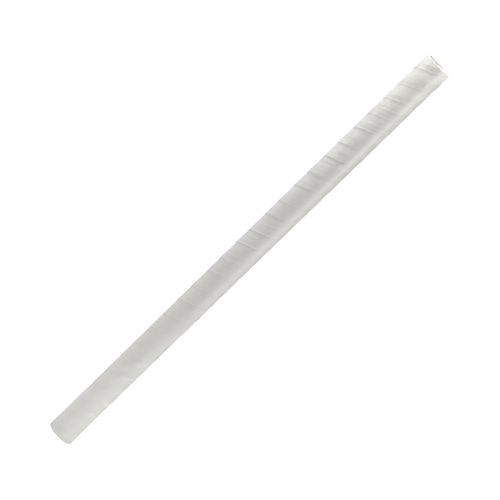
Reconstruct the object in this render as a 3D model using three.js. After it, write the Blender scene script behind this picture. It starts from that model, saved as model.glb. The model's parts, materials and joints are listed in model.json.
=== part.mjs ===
import * as THREE from 'three';

// A spiral tree guard: two springy plastic strips, wound together into one open tube that is
// wrapped round a young trunk. Both strips climb as right-handed helices, a little less than
// half a turn apart, and every strip laps over the one below it like a row of shingles.
// Each strip is divided into single turns, so that the coil can be stretched turn by turn.
// Millimetres. +Z runs up the tube, and the origin is the centre of the base rim.

const LENGTH = 914;
const OUTER_RADIUS = 25.4;
const TURNS = 13;
const PITCH = LENGTH / TURNS;

const STRIP_HEIGHT = 53.5; // a strip's width, measured up the tube
const THICKNESS = 0.5;
const CLEARANCE = 0.3; // between lapped layers, and between a turn's end and the next turn

// The height at which each strip's lower edge first crosses the tube's front line, at -Y.
const STRIPS = [
  { name: 'strip_a', firstCrossing: 56.2 },
  { name: 'strip_b', firstCrossing: 17.8 },
];

// The upper edge is tucked inside the lower edge of the strip above. How far the wall leans
// inward per millimetre of height follows from the smaller of the two steps between strips.
const STEP_A_TO_B = STRIPS[1].firstCrossing + PITCH - STRIPS[0].firstCrossing;
const LEAN = (THICKNESS + CLEARANCE) / Math.min(STEP_A_TO_B, PITCH - STEP_A_TO_B);

const FULL_TURN = 2 * Math.PI;
const FACETS_PER_TURN = 36;
const FACET_ANGLE = FULL_TURN / FACETS_PER_TURN;
const FRONT_ANGLE = 1.5 * Math.PI; // the front line, at -Y
const BACK_ANGLE = 0.5 * Math.PI; // turns are divided along the back line, at +Y
const SHORTEST_TIP = 5; // a strip that the rims cut to a point is blunted at this height

const WHITE_PLASTIC = { color: 0xe9e9e5, roughness: 0.45, metalness: 0 };

/** The height of a strip's lower edge at an angle round the tube, which keeps on counting. */
function lowerEdge(strip, angle) {
  return strip.firstCrossing + (PITCH * (angle - FRONT_ANGLE)) / FULL_TURN;
}

/** The angle at which a strip's lower edge reaches a height. */
function angleAtHeight(strip, height) {
  return FRONT_ANGLE + (FULL_TURN * (height - strip.firstCrossing)) / PITCH;
}

/** Rolls a flat bar into a stretch of strip, cut level where it would pass either rim. */
function rollStrip(strip, startAngle, endAngle) {
  const facets = Math.round((endAngle - startAngle) / FACET_ANGLE);
  const geometry = new THREE.BoxGeometry(1, 1, 1, facets, 1, 1);
  const endGap = CLEARANCE / 2 / OUTER_RADIUS;
  const vertices = geometry.attributes.position;
  const vertex = new THREE.Vector3();
  for (let i = 0; i < vertices.count; i++) {
    vertex.fromBufferAttribute(vertices, i).addScalar(0.5);
    const angle = THREE.MathUtils.lerp(startAngle + endGap, endAngle - endGap, vertex.x);
    const edge = lowerEdge(strip, angle);
    const bottom = Math.max(0, edge);
    const top = Math.min(LENGTH, edge + STRIP_HEIGHT);
    const height = THREE.MathUtils.lerp(bottom, top, vertex.y);
    const radius = OUTER_RADIUS - LEAN * (height - edge) - THICKNESS * (1 - vertex.z);
    vertices.setXYZ(i, radius * Math.cos(angle), radius * Math.sin(angle), height);
  }
  geometry.computeVertexNormals();
  return geometry;
}

/** One strip, from its blunted tip at the base rim to its tip at the top rim, turn by turn. */
function windStrip(strip) {
  const firstAngle = angleAtHeight(strip, SHORTEST_TIP - STRIP_HEIGHT);
  const lastAngle = angleAtHeight(strip, LENGTH - SHORTEST_TIP);
  const firstFacet = Math.ceil((firstAngle - BACK_ANGLE) / FACET_ANGLE);
  const lastFacet = Math.floor((lastAngle - BACK_ANGLE) / FACET_ANGLE);
  const firstTurn = Math.floor(firstFacet / FACETS_PER_TURN);
  const lastTurn = Math.ceil(lastFacet / FACETS_PER_TURN);

  const wound = new THREE.Group();
  for (let turn = firstTurn; turn < lastTurn; turn++) {
    const startFacet = Math.max(firstFacet, turn * FACETS_PER_TURN);
    const endFacet = Math.min(lastFacet, (turn + 1) * FACETS_PER_TURN);
    const startAngle = BACK_ANGLE + startFacet * FACET_ANGLE;
    const endAngle = BACK_ANGLE + endFacet * FACET_ANGLE;
    const material = new THREE.MeshStandardMaterial(WHITE_PLASTIC);
    const mesh = new THREE.Mesh(rollStrip(strip, startAngle, endAngle), material);
    const number = String(turn - firstTurn + 1).padStart(2, '0');
    mesh.name = `${strip.name}_turn_${number}`;
    wound.add(mesh);
  }
  return wound;
}

const treeGuard = new THREE.Group();
for (const strip of STRIPS) {
  treeGuard.add(windStrip(strip));
}

export default treeGuard;
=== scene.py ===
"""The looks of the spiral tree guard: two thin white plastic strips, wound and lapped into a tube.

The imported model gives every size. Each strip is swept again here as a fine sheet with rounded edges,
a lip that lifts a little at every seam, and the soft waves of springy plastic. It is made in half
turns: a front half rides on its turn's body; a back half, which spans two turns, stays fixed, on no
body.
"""

import json
import math

import bpy
import numpy as np
from mathutils import Matrix, Vector

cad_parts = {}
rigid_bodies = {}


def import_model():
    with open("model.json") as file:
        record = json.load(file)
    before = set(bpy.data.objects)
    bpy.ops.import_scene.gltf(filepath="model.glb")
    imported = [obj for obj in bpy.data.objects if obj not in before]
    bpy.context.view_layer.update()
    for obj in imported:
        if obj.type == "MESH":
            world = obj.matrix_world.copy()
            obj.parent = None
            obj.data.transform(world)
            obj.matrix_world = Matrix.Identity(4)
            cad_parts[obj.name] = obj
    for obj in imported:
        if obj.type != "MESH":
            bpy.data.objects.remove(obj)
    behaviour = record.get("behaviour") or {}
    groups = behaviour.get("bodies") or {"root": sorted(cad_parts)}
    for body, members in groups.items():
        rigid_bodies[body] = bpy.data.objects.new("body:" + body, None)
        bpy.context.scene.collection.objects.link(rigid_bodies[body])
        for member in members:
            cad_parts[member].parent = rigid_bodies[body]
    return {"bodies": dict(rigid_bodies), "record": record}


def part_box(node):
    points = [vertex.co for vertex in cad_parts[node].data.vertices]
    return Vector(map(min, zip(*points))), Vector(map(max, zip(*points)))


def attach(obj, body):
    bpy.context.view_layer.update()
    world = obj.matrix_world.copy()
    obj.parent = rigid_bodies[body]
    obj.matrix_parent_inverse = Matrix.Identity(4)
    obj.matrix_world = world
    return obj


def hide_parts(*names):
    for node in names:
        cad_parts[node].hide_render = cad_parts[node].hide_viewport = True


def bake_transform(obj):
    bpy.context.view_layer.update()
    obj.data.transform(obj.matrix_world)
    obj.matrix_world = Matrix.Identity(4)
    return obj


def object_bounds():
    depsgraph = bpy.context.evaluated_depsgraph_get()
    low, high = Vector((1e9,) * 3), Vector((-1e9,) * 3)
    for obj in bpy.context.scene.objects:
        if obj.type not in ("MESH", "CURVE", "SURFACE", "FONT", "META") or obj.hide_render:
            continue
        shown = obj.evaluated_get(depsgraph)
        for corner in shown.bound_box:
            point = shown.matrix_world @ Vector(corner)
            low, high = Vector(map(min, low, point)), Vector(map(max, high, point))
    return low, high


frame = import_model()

MM = 0.001
HALF_TURN, FULL_TURN = math.pi, 2 * math.pi
BACK = 0.5 * math.pi  # the back line, at +Y, where the frame divides a strip into turns

# ---------------------------------------------------------------- sizes, from the frame
CAD_LOW, CAD_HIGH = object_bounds()
LENGTH = CAD_HIGH.z - CAD_LOW.z
OUTER_RADIUS = (CAD_HIGH.x - CAD_LOW.x) / 2
TURNS = len(frame["bodies"])
PITCH = LENGTH / TURNS
STRIPS = ("strip_a", "strip_b")
MIDDLE_TURN = 7  # a whole turn, far from both rims

THICKNESS = 0.4 * MM
CLEARANCE = 0.05 * MM  # lapped layers lie close, where the frame keeps them 0.3 mm apart
SHORTEST_TIP = 5 * MM  # a strip that the rims cut to a point is blunted at this height


def other(strip):
    return STRIPS[1 - STRIPS.index(strip)]


def middle_box(strip):
    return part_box(f"{strip}_turn_{MIDDLE_TURN:02d}")


def back_crossing(strip):
    """The height at which the strip's lower edge crosses the back line, in the turn below the base."""
    return middle_box(strip)[0].z % PITCH - PITCH


CROSSING = {strip: back_crossing(strip) for strip in STRIPS}
STRIP_HEIGHT = middle_box("strip_a")[1].z - middle_box("strip_a")[0].z - PITCH
STEP_UP = {strip: (CROSSING[other(strip)] - CROSSING[strip]) % PITCH for strip in STRIPS}
LEAN = (THICKNESS + CLEARANCE) / min(STEP_UP.values())

# ---------------------------------------------------------------- the winding's shape
SEAM_DROP = 1.4 * MM  # the seams lie this much lower than in the frame
SEAM_WOBBLE = 0.8 * MM
WOBBLE_TURNS = 9  # turns in one wobble
WOBBLE_PHASE = {"strip_a": 2.4, "strip_b": 5.6}

LOOSE_FIT = 0.15 * MM  # the lower edges stand this much outside the frame's tube
LIP_LIFT_LOW, LIP_LIFT_HIGH = 0.08 * MM, 0.26 * MM  # near the base, and from mid height up
LIP_WIDTH = 1.6 * MM
LAP_RIDGE = 0.10 * MM  # a strip stands this much prouder where it covers the one below
RIDGE_FADE_BELOW, RIDGE_FADE_ABOVE = 2 * MM, 1 * MM  # the covered edge

# How loose a strip's laps are, and how much looser some turns are than others.
SLACK = {"strip_a": (1.28, 0.3), "strip_b": (1.0, 0.1)}
SLACK_AT_FRONT, SLACK_TO_THE_SIDE = 0.50, 0.45  # looser on the left, tighter on the right
LOOSE_EVERY = 1.83  # turns from one loose lap to the next
LOOSE_PHASE = 3.7

# Heights as shares of the length, and how much of each effect there is outside them.
LAPS_OPEN_FROM, LAPS_OPEN_BY = 0.16, 0.42
LAPS_CLOSE_FROM, LAPS_CLOSE_BY, CLOSED_SHARE = 0.91, 0.95, 0.5
CREASES_FROM, CREASES_BY, CREASED_AT_BASE = 0.25, 0.65, 0.3

WAVE = 0.07 * MM
# Share of the wave, waves round the tube, radians along its length, and phase.
WAVES = ((0.6, 2, 19, 0.0), (0.4, 3, -31, 1.0), (0.3, 1, 53, 2.0))

LAP_SHADOW_WIDTH = 1.1 * MM  # painted shadow: a faint grey line under every lip, standing in for the shade the lip casts
LAP_SHADOW_AT_BASE = 0.35
# Cut edges are lighter: part stress-whitening of the plastic, part painted highlight of the lit lip.
WHITE_AND_LIT_EDGE_WIDTH = 1.5 * MM
WHITE_AND_LIT_EDGE_ENDS = (8 * MM, 4 * MM)  # it fades out over these depths below the top rim


def smoothstep(low, high, x):
    t = np.clip((x - low) / (high - low), 0, 1)
    return t * t * (3 - 2 * t)


def lower_edge(strip, angle):
    """The height of the strip's lower edge at an angle, which keeps counting from turn to turn."""
    wobble = SEAM_WOBBLE * np.sin(angle / WOBBLE_TURNS + WOBBLE_PHASE[strip])
    return CROSSING[strip] - SEAM_DROP + PITCH * (angle - BACK) / FULL_TURN + wobble


def openness(height):
    """How far the laps stand open at a height: not near the base, and less just below the top."""
    opening = smoothstep(LAPS_OPEN_FROM * LENGTH, LAPS_OPEN_BY * LENGTH, height)
    closing = smoothstep(LAPS_CLOSE_FROM * LENGTH, LAPS_CLOSE_BY * LENGTH, height)
    return opening * (1 - CLOSED_SHARE * closing)


def slackness(strip, angle):
    """How loose a lap is: tighter on the right, looser on the left, and looser in some turns."""
    looseness, unevenness = SLACK[strip]
    round_the_tube = SLACK_AT_FRONT - SLACK_TO_THE_SIDE * np.cos(angle)
    turn_by_turn = 1 + unevenness * np.cos(angle / LOOSE_EVERY + LOOSE_PHASE)
    return looseness * round_the_tube * turn_by_turn


def lip_lift(strip, angle, height):
    """How far a strip's lower edge lifts off the strip that it covers."""
    lift = LIP_LIFT_LOW + (LIP_LIFT_HIGH - LIP_LIFT_LOW) * openness(height)
    return lift * slackness(strip, angle)


def wall_wave(angle, height):
    """Slow waves that all layers share, so that laps stay clear of each other."""
    risen = height / LENGTH
    return WAVE * sum(
        share * np.sin(waves_round * angle + along * risen + phase)
        for share, waves_round, along, phase in WAVES
    )


def sheet_points(strip, angle, row_share, row_offset, depth):
    """Points of the sheet: row_share and row_offset place a row between the strip's two edges."""
    edge = lower_edge(strip, angle)
    low = np.maximum(0, edge) - edge
    high = np.minimum(LENGTH, edge + STRIP_HEIGHT) - edge
    up = low + row_share * (high - low) + row_offset
    height = edge + up

    lip = lip_lift(strip, angle, height) * np.exp(-np.maximum(up, 0) / LIP_WIDTH)
    lap = STRIP_HEIGHT - STEP_UP[other(strip)]
    covering = 1 - smoothstep(lap - RIDGE_FADE_BELOW, lap + RIDGE_FADE_ABOVE, up)
    ridge = LAP_RIDGE * covering * openness(height)
    radius = OUTER_RADIUS + LOOSE_FIT - LEAN * up + lip + ridge + wall_wave(angle, height) - depth
    points = np.stack([radius * np.cos(angle), radius * np.sin(angle), height], axis=-1)
    return points, up


# ---------------------------------------------------------------- the sheet's mesh
EDGE_ROUNDING = 0.15 * MM
ARC_STEPS = 44  # in a half turn
FEWEST_STEPS = 2
SLOPE_STEP = 1e-3  # radians to either side of a point, for the slope of the surface there
# Rows of points as shares of the way up a strip, finest by the lip and by the lap above, where the
# shadow under the next lip is painted.
ROWS_UP = (
    0.01, 0.022, 0.036, 0.055, 0.09, 0.14, 0.22, 0.32, 0.42, 0.50, 0.54, 0.57, 0.585,
    0.60, 0.615, 0.63, 0.65, 0.67, 0.69, 0.705, 0.72, 0.735, 0.75, 0.78, 0.86, 0.95,
)


def section_rows():
    """Rows of the sheet's outer face, from the lower edge to the upper: share, offset, inset."""
    r = EDGE_ROUNDING
    corner = r * (1 - math.sqrt(0.5))
    rows = [(0, 0, r), (0, corner, corner), (0, r, 0)]
    rows += [(share, r * (1 - 2 * share), 0) for share in ROWS_UP]
    rows += [(1, -r, 0), (1, -corner, corner), (1, 0, r)]
    return np.array(rows)


ROWS = section_rows()


def sweep(name, strip, start, end):
    """A closed stretch of the strip between two angles, with true surface normals on it."""
    steps = max(FEWEST_STEPS, round(ARC_STEPS * (end - start) / HALF_TURN))
    angle = np.linspace(start, end, steps + 1)[:, None]
    share, offset, inset = np.concatenate([ROWS, ROWS[::-1]]).T
    count = len(ROWS)
    depth = np.where(np.arange(2 * count) < count, inset, THICKNESS - inset)

    points, up = sheet_points(strip, angle, share, offset, depth)
    ahead = sheet_points(strip, angle + SLOPE_STEP, share, offset, depth)[0]
    behind = sheet_points(strip, angle - SLOPE_STEP, share, offset, depth)[0]
    across = np.roll(points, -1, axis=1) - np.roll(points, 1, axis=1)
    normals = np.cross(ahead - behind, across)
    normals /= np.linalg.norm(normals, axis=2, keepdims=True)

    width = 2 * count
    index = np.arange((steps + 1) * width).reshape(steps + 1, width)
    a, b = index[:-1], index[1:]
    sides = np.stack([a, b, np.roll(b, -1, axis=1), np.roll(a, -1, axis=1)], axis=-1)
    sides = sides.reshape(-1, 4)
    outer, inner = np.arange(count), np.arange(width - 1, count - 1, -1)
    cap = np.stack([outer[:-1], outer[1:], inner[1:], inner[:-1]], axis=-1)
    faces = np.concatenate([sides, index[0][cap], index[-1][cap][:, ::-1]])

    mesh = bpy.data.meshes.new(name)
    mesh.from_pydata(points.reshape(-1, 3).tolist(), [], faces.tolist())
    point_angle = np.repeat(angle, width, axis=1).ravel()
    lay_uv(mesh, faces.ravel(), point_angle, up.ravel())
    lay_marks(mesh, strip, point_angle, up.ravel())
    mesh.polygons.foreach_set("use_smooth", np.arange(len(faces)) < len(sides))
    side_normals = normals.reshape(-1, 3)[sides.ravel()]
    corner_normals = np.concatenate([side_normals, cap_normals(start, end, len(cap))])
    mesh.normals_split_custom_set(corner_normals.tolist())
    mesh.validate()
    piece = bpy.data.objects.new(name, mesh)
    bpy.context.scene.collection.objects.link(piece)
    return piece


def cap_normals(start, end, faces):
    """The normals of the two flat ends, for the four corners of every face."""
    first = (math.sin(start), -math.cos(start), 0)
    last = (-math.sin(end), math.cos(end), 0)
    return np.array([first] * (4 * faces) + [last] * (4 * faces))


def lay_uv(mesh, corners, angle, up):
    """A map in metres: along the strip, and up it from its lower edge."""
    layer = mesh.uv_layers.new(name="Sheet")
    uv = np.stack([angle * OUTER_RADIUS, up], axis=-1)[corners]
    layer.data.foreach_set("uv", uv.astype(np.float32).ravel())


def lay_mark(mesh, name, strength):
    """A number from 0 to 1 on every point, for the material to read."""
    mark = mesh.attributes.new(name, "FLOAT", "POINT")
    mark.data.foreach_set("value", strength.astype(np.float32))


def lay_marks(mesh, strip, angle, up):
    """Where the plastic is whiter and has a painted highlight at a cut edge, has a painted shadow
    under a lip, and is creased.
    """
    edge = lower_edge(strip, angle)
    height = edge + up
    opened = openness(height)

    # Cut edges: stress-whitening and a painted highlight, strongest where the laps stand open and
    # loose.
    to_edge = np.minimum.reduce([up, STRIP_HEIGHT - up, height, LENGTH - height])
    whitened_and_lit = np.exp(-np.maximum(to_edge, 0) / WHITE_AND_LIT_EDGE_WIDTH) * opened
    whitened_and_lit *= np.minimum(1, slackness(strip, angle))
    fade_from, fade_by = WHITE_AND_LIT_EDGE_ENDS
    whitened_and_lit *= 1 - smoothstep(LENGTH - fade_from, LENGTH - fade_by, height)
    lay_mark(mesh, "whitened_and_lit_edge", whitened_and_lit)

    # Painted shadow under the lip of the strip above, darkest where that lip stands open and loose.
    turns_on = np.ceil((edge - lower_edge(other(strip), angle)) / PITCH)
    seam_angle = angle + FULL_TURN * turns_on  # as the strip above counts it
    seam_above = lower_edge(other(strip), seam_angle) - edge
    shaded = np.exp(-np.abs(seam_above - up) / LAP_SHADOW_WIDTH)
    shaded *= LAP_SHADOW_AT_BASE + (1 - LAP_SHADOW_AT_BASE) * opened
    shaded *= slackness(other(strip), seam_angle)
    lay_mark(mesh, "painted_lap_shadow", np.minimum(1, shaded))

    risen = smoothstep(CREASES_FROM * LENGTH, CREASES_BY * LENGTH, height)
    lay_mark(mesh, "creased", CREASED_AT_BASE + (1 - CREASED_AT_BASE) * risen)


# ---------------------------------------------------------------- material
SHEET_SHADE = (0.835, 0.828, 0.802)
SHEET_TINT = (0.875, 0.870, 0.848)
# Cut edges: stress-whitening and a painted highlight.
EDGE_WHITE_AND_HIGHLIGHT = (0.955, 0.952, 0.940)
# Painted shadow: the grey under every lip.
LAP_PAINTED_SHADOW = (0.70, 0.695, 0.675)
ROUGHNESS = (0.22, 0.29)
SHEET_IOR = 1.7
SEE_THROUGH = 0.42

# Noises: spots in a metre along the strip, spots in a metre up it, and levels of detail.
CLOUDING = (28, 45, 3)
CREASES, CREASE_DEPTH = (11, 150, 2), 1.2 * MM
DRAWN_LINES, DRAWN_LINE_DEPTH = (6, 1400, 2), 0.03 * MM
ORANGE_PEEL, ORANGE_PEEL_DEPTH = (420, 420, 2), 0.04 * MM
NOISE_LOW, NOISE_HIGH = 0.3, 0.7  # most of a noise lies between these


def plastic():
    """Thin white plastic sheet: satin, faintly warm, a little light passing through it."""
    material = bpy.data.materials.new("white_plastic_sheet")
    material.use_nodes = True
    tree = material.node_tree
    nodes, link = tree.nodes, tree.links.new
    nodes.clear()
    uv = nodes.new("ShaderNodeUVMap")
    uv.uv_map = "Sheet"

    def noise(along, up, detail):
        stretch = nodes.new("ShaderNodeMapping")
        stretch.inputs["Scale"].default_value = (along, up, 1)
        link(uv.outputs["UV"], stretch.inputs["Vector"])
        texture = nodes.new("ShaderNodeTexNoise")
        texture.inputs["Scale"].default_value = 1
        texture.inputs["Detail"].default_value = detail
        link(stretch.outputs["Vector"], texture.inputs["Vector"])
        return texture.outputs["Fac"]

    def remap(value, low, high):
        node = nodes.new("ShaderNodeMapRange")
        node.inputs["From Min"].default_value = NOISE_LOW
        node.inputs["From Max"].default_value = NOISE_HIGH
        node.inputs["To Min"].default_value = low
        node.inputs["To Max"].default_value = high
        link(value, node.inputs["Value"])
        return node.outputs["Result"]

    def mark(name):
        node = nodes.new("ShaderNodeAttribute")
        node.attribute_name = name
        return node.outputs["Fac"]

    def blend_to(colour, share):
        """A mix node that turns to the colour as the share goes from 0 to 1."""
        node = nodes.new("ShaderNodeMix")
        node.data_type = "RGBA"
        node.inputs["B"].default_value = (*colour, 1)
        link(share, node.inputs["Factor"])
        return node

    def bump(height, depth):
        node = nodes.new("ShaderNodeBump")
        node.inputs["Distance"].default_value = depth
        link(height, node.inputs["Height"])
        return node

    clouding = noise(*CLOUDING)
    tint = blend_to(SHEET_TINT, remap(clouding, 0, 1))
    tint.inputs["A"].default_value = (*SHEET_SHADE, 1)
    # Stress-whitening and a painted highlight at the cut edges.
    whitened_and_lit = blend_to(EDGE_WHITE_AND_HIGHLIGHT, mark("whitened_and_lit_edge"))
    link(tint.outputs["Result"], whitened_and_lit.inputs["A"])
    # Painted shadow under every lip.
    shaded = blend_to(LAP_PAINTED_SHADOW, mark("painted_lap_shadow"))
    link(whitened_and_lit.outputs["Result"], shaded.inputs["A"])
    colour = shaded.outputs["Result"]

    creases = bump(noise(*CREASES), CREASE_DEPTH)
    link(mark("creased"), creases.inputs["Strength"])
    drawn_lines = bump(noise(*DRAWN_LINES), DRAWN_LINE_DEPTH)
    link(creases.outputs["Normal"], drawn_lines.inputs["Normal"])
    orange_peel = bump(noise(*ORANGE_PEEL), ORANGE_PEEL_DEPTH)
    link(drawn_lines.outputs["Normal"], orange_peel.inputs["Normal"])

    skin = nodes.new("ShaderNodeBsdfPrincipled")
    skin.inputs["IOR"].default_value = SHEET_IOR
    link(colour, skin.inputs["Base Color"])
    link(remap(clouding, *ROUGHNESS), skin.inputs["Roughness"])
    link(orange_peel.outputs["Normal"], skin.inputs["Normal"])
    through = nodes.new("ShaderNodeBsdfTranslucent")
    link(colour, through.inputs["Color"])
    mix = nodes.new("ShaderNodeMixShader")
    mix.inputs["Fac"].default_value = SEE_THROUGH
    link(skin.outputs["BSDF"], mix.inputs[1])
    link(through.outputs["BSDF"], mix.inputs[2])
    output = nodes.new("ShaderNodeOutputMaterial")
    link(mix.outputs["Shader"], output.inputs["Surface"])
    return material


def turns_of(strip):
    """The strip's CAD nodes in winding order, each with the body that it is on."""
    bodies = frame["record"]["behaviour"]["bodies"]
    found = {node: body for body, nodes in bodies.items() for node in nodes}
    return [(node, found[node]) for node in sorted(found) if node.startswith(strip)]


def angle_at_height(strip, height):
    """The angle at which the frame's lower edge of the strip reaches a height."""
    return BACK + FULL_TURN * (height - CROSSING[strip]) / PITCH


def wind(strip, material):
    """Cuts the strip at the left and right lines, and joins each half turn that lies in one turn to
    that turn's body; a half that spans two turns stays fixed, on no body.
    """
    turns = turns_of(strip)
    first = angle_at_height(strip, SHORTEST_TIP - STRIP_HEIGHT)
    last = angle_at_height(strip, LENGTH - SHORTEST_TIP)
    first_turn = math.floor((first - BACK) / FULL_TURN)
    halves = range(math.floor(first / HALF_TURN), math.ceil(last / HALF_TURN))
    for number, half in enumerate(halves, start=1):
        start = max(first, half * HALF_TURN)
        end = min(last, (half + 1) * HALF_TURN)
        piece = sweep(f"{strip}_half_{number:02d}", strip, start, end)
        piece.data.materials.append(material)

        starts_in = math.floor((start - BACK) / FULL_TURN) - first_turn
        ends_in = math.floor((end - BACK) / FULL_TURN) - first_turn
        lower_node, lower_body = turns[starts_in]
        upper_node, upper_body = turns[ends_in]
        if lower_body == upper_body:
            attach(piece, lower_body)
        else:
            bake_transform(piece)
        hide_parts(*sorted({lower_node, upper_node}))


# ---------------------------------------------------------------- floor and light
FLOOR_SIZE = 120.0
FLOOR_DROP = 0.2 * MM  # the floor lies this much under the base rim
FLOOR_GREY = 0.5
FLOOR_ROUGHNESS = 0.9
FLOOR_GLOW = 0.25
SKY = 0.2
WHITE = (1, 1, 1, 1)

# Name, the height it is aimed at, azimuth from the camera's side towards +X, elevation, distance,
# width, height and power. Angles are in degrees, lengths in metres and powers in watts.
SOFTBOXES = (
    ("top_box", 0.457, 0, 88, 2.4, 1.2, 1.2, 96),
    ("right_box", 0.457, 68, 4, 2.2, 1.4, 1.6, 23),
    ("left_box", 0.457, -88, 35, 2.0, 0.4, 0.8, 5),
    ("upper_left_box", 0.914, -85, 25, 1.0, 0.4, 0.4, 8.2),
    ("upper_front_box", 0.914, -20, 30, 0.5, 0.3, 0.3, 0.15),
    ("low_front_box", 0.02, 10, 8, 0.22, 0.3, 0.06, 0.05),
    ("back_box", 0.8, 180, 50, 2.2, 0.9, 0.9, 14),
    ("bore_box", 0.914, 0, 88, 0.45, 0.03, 0.03, 5.5),
)


def white_to_the_eye(tree, strength):
    """A glow that looks plain white in the picture, and lights the guard with only this strength."""
    path = tree.nodes.new("ShaderNodeLightPath")
    glow = tree.nodes.new("ShaderNodeMapRange")
    glow.inputs["To Min"].default_value = strength
    glow.inputs["To Max"].default_value = 1.0
    tree.links.new(path.outputs["Is Camera Ray"], glow.inputs["Value"])
    return glow.outputs["Result"]


def floor():
    """A plain pale floor, which shows no edge or horizon."""
    mesh = bpy.data.meshes.new("floor")
    s = FLOOR_SIZE / 2
    mesh.from_pydata([(-s, -s, 0), (s, -s, 0), (s, s, 0), (-s, s, 0)], [], [(0, 1, 2, 3)])
    material = bpy.data.materials.new("floor")
    material.use_nodes = True
    tree = material.node_tree
    skin = tree.nodes["Principled BSDF"]
    skin.inputs["Base Color"].default_value = (FLOOR_GREY, FLOOR_GREY, FLOOR_GREY, 1)
    skin.inputs["Roughness"].default_value = FLOOR_ROUGHNESS
    skin.inputs["Specular IOR Level"].default_value = 0
    skin.inputs["Emission Color"].default_value = WHITE
    tree.links.new(white_to_the_eye(tree, FLOOR_GLOW), skin.inputs["Emission Strength"])
    mesh.materials.append(material)
    ground = bpy.data.objects.new("floor", mesh)
    ground.location.z = CAD_LOW.z - FLOOR_DROP
    bpy.context.scene.collection.objects.link(ground)


def sky():
    """A plain white surround for the eye, and a weaker one for the light."""
    world = bpy.data.worlds.new("surround")
    bpy.context.scene.world = world
    world.use_nodes = True
    tree = world.node_tree
    background = tree.nodes["Background"]
    background.inputs["Color"].default_value = WHITE
    tree.links.new(white_to_the_eye(tree, SKY), background.inputs["Strength"])


def softbox(name, aim, azimuth, elevation, distance, width, height, power):
    light = bpy.data.lights.new(name, "AREA")
    light.shape = "RECTANGLE"
    light.size, light.size_y = width, height
    light.energy = power
    box = bpy.data.objects.new(name, light)
    a, e = math.radians(azimuth), math.radians(elevation)
    away = Vector((math.sin(a) * math.cos(e), -math.cos(a) * math.cos(e), math.sin(e)))
    box.location = Vector((0, 0, aim)) + away * distance
    box.rotation_euler = away.to_track_quat("Z", "Y").to_euler()
    box.visible_camera = False
    bpy.context.scene.collection.objects.link(box)


# ---------------------------------------------------------------- camera
CAMERA_ELEVATION = 12.46
CAMERA_DISTANCE = 3.949
CAMERA_LENS = 168.4
CAMERA_ROLL = 45.78  # the tube leans to the right of upright by this much
CAMERA_REACH = 200  # metres, past the edge of the floor
AIM = Vector((1.2, 0, 10.5)) * MM  # from the tube's middle to the middle of the picture


def camera():
    data = bpy.data.cameras.new("camera")
    data.lens = CAMERA_LENS
    data.clip_end = CAMERA_REACH
    eye = bpy.data.objects.new("camera", data)
    e = math.radians(CAMERA_ELEVATION)
    back = Vector((0, -math.cos(e), math.sin(e)))
    upright = back.to_track_quat("Z", "Y").to_matrix().to_4x4()
    roll = Matrix.Rotation(math.radians(CAMERA_ROLL), 4, "Z")
    middle = (CAD_LOW + CAD_HIGH) / 2
    place = Matrix.Translation(middle + AIM + back * CAMERA_DISTANCE)
    eye.matrix_world = place @ upright @ roll
    bpy.context.scene.collection.objects.link(eye)
    bpy.context.scene.camera = eye


# ---------------------------------------------------------------- the scene
bpy.context.scene.view_settings.view_transform = "Standard"
camera()
sheet = plastic()
for strip in STRIPS:
    wind(strip, sheet)
floor()
sky()
for box in SOFTBOXES:
    softbox(*box)
